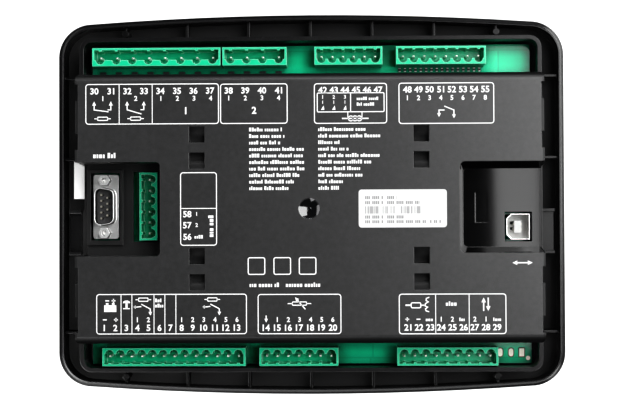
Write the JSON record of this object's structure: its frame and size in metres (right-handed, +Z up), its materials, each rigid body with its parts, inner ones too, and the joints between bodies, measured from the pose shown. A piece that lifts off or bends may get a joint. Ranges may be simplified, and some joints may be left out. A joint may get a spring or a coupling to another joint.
{
  "type": "genset controller",
  "caption": "Panel-mounted generator controller with bowed bezel, textured rear cover, pluggable green terminals, serial and USB bays, and sprung front keys.",
  "frame": {"origin": "middle of the panel cut-out, on the plane where the bezel's rim seats on the panel's front face", "axes": "+Z up as mounted, +X to the right seen from the front, +Y from the front towards the rear terminals"},
  "size_m": [0.2406, 0.0424, 0.1804],
  "materials": {
    "housing_black": "satin",
    "cover_grey": "fine texture",
    "overlay_film": "satin film",
    "clear_window": "clear",
    "display_glass": "dark glass",
    "plated_steel": "bright plated",
    "clear_pipe": "clear",
    "lamp_body": "satin",
    "switch_black": "satin",
    "board_green": "solder mask",
    "tinned_brass": "tinned",
    "insulator_black": "satin",
    "gold_contact": "plated",
    "insert_white": "gloss",
    "card_white": "paper",
    "label_white": "satin film",
    "component_black": "satin",
    "capacitor_sleeve": "sleeve",
    "core_yellow": "tape",
    "terminal_green": "satin",
    "key_grey": "satin",
    "key_red": "satin",
    "key_green": "satin"
  },
  "bodies": {
    "unit": {"front_housing": "housing_black", "rear_cover": "cover_grey", "front_overlay": "overlay_film", "display_lens": "clear_window", "display_glass": "display_glass", "display_tray": "plated_steel", "light_pipes": "clear_pipe", "lamps": "lamp_body", "key_switches": "switch_black", "main_board": "board_green", "board_screws": "plated_steel", "terminal_pins": "tinned_brass", "port_body": "insulator_black", "port_shell": "plated_steel", "port_pins": "gold_contact", "jack_posts": "plated_steel", "usb_shell": "plated_steel", "usb_insert": "insert_white", "usb_contacts": "gold_contact", "label_card": "card_white", "rating_label": "label_white", "relays": "component_black", "capacitors": "capacitor_sleeve", "current_cores": "component_black", "processor": "component_black", "power_core": "core_yellow", "sounder": "component_black", "term_generator": "terminal_green", "term_mains": "terminal_green", "term_current": "terminal_green", "term_inputs": "terminal_green", "term_supply": "terminal_green", "term_senders": "terminal_green", "term_data": "terminal_green", "term_bus": "terminal_green"},
    "key_up_body": {"key_up": "key_grey"},
    "key_down_body": {"key_down": "key_grey"},
    "key_left_body": {"key_left": "key_grey"},
    "key_right_body": {"key_right": "key_grey"},
    "key_enter_body": {"key_enter": "key_grey"},
    "key_stop_body": {"key_stop": "key_red"},
    "key_manual_body": {"key_manual": "key_grey"},
    "key_test_body": {"key_test": "key_grey"},
    "key_auto_body": {"key_auto": "key_grey"},
    "key_mute_body": {"key_mute": "key_grey"},
    "key_start_body": {"key_start": "key_green"},
    "key_mains_body": {"key_mains": "key_grey"},
    "key_generator_body": {"key_generator": "key_grey"}
  },
  "joints": [
    {"name": "key_up_press", "type": "slide", "parent": "unit", "child": "key_up_body", "axis": [0, 1, 0], "range_m": [0, 0.0008], "stiffness_N_per_m": 2500, "springref_m": -0.0004},
    {"name": "key_down_press", "type": "slide", "parent": "unit", "child": "key_down_body", "axis": [0, 1, 0], "range_m": [0, 0.0008], "stiffness_N_per_m": 2500, "springref_m": -0.0004},
    {"name": "key_left_press", "type": "slide", "parent": "unit", "child": "key_left_body", "axis": [0, 1, 0], "range_m": [0, 0.0008], "stiffness_N_per_m": 2500, "springref_m": -0.0004},
    {"name": "key_right_press", "type": "slide", "parent": "unit", "child": "key_right_body", "axis": [0, 1, 0], "range_m": [0, 0.0008], "stiffness_N_per_m": 2500, "springref_m": -0.0004},
    {"name": "key_enter_press", "type": "slide", "parent": "unit", "child": "key_enter_body", "axis": [0, 1, 0], "range_m": [0, 0.0008], "stiffness_N_per_m": 2500, "springref_m": -0.0004},
    {"name": "key_stop_press", "type": "slide", "parent": "unit", "child": "key_stop_body", "axis": [0, 1, 0], "range_m": [0, 0.0008], "stiffness_N_per_m": 2500, "springref_m": -0.0004},
    {"name": "key_manual_press", "type": "slide", "parent": "unit", "child": "key_manual_body", "axis": [0, 1, 0], "range_m": [0, 0.0008], "stiffness_N_per_m": 2500, "springref_m": -0.0004},
    {"name": "key_test_press", "type": "slide", "parent": "unit", "child": "key_test_body", "axis": [0, 1, 0], "range_m": [0, 0.0008], "stiffness_N_per_m": 2500, "springref_m": -0.0004},
    {"name": "key_auto_press", "type": "slide", "parent": "unit", "child": "key_auto_body", "axis": [0, 1, 0], "range_m": [0, 0.0008], "stiffness_N_per_m": 2500, "springref_m": -0.0004},
    {"name": "key_mute_press", "type": "slide", "parent": "unit", "child": "key_mute_body", "axis": [0, 1, 0], "range_m": [0, 0.0008], "stiffness_N_per_m": 2500, "springref_m": -0.0004},
    {"name": "key_start_press", "type": "slide", "parent": "unit", "child": "key_start_body", "axis": [0, 1, 0], "range_m": [0, 0.0008], "stiffness_N_per_m": 2500, "springref_m": -0.0004},
    {"name": "key_mains_press", "type": "slide", "parent": "unit", "child": "key_mains_body", "axis": [0, 1, 0], "range_m": [0, 0.0008], "stiffness_N_per_m": 2500, "springref_m": -0.0004},
    {"name": "key_generator_press", "type": "slide", "parent": "unit", "child": "key_generator_body", "axis": [0, 1, 0], "range_m": [0, 0.0008], "stiffness_N_per_m": 2500, "springref_m": -0.0004}
  ]
}
